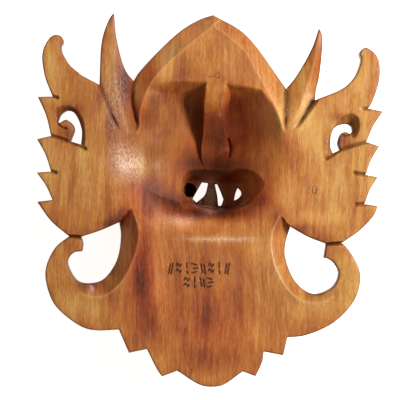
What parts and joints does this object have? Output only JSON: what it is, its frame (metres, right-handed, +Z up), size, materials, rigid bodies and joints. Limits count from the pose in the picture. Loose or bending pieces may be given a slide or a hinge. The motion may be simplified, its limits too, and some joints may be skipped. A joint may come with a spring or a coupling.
{
  "type": "garuda mask",
  "caption": "Carved wooden garuda mask lying on its face, with winged ears, horns, lower curls, a toothed beard and a ribbed hollow for the wearer's face behind.",
  "frame": {"origin": "on the floor below the middle of the mask's plan, with the mask lying on its face", "axes": "+Z up out of the hollowed back, +Y towards the crown's tip, +X towards the wearer's right"},
  "size_m": [0.2772, 0.3, 0.092],
  "materials": {
    "carved_wood": "oiled and lightly polished reddish brown wood with straight grain, darker in the hollow"
  },
  "bodies": {
    "root": {"mask": "carved_wood"}
  },
  "joints": []
}
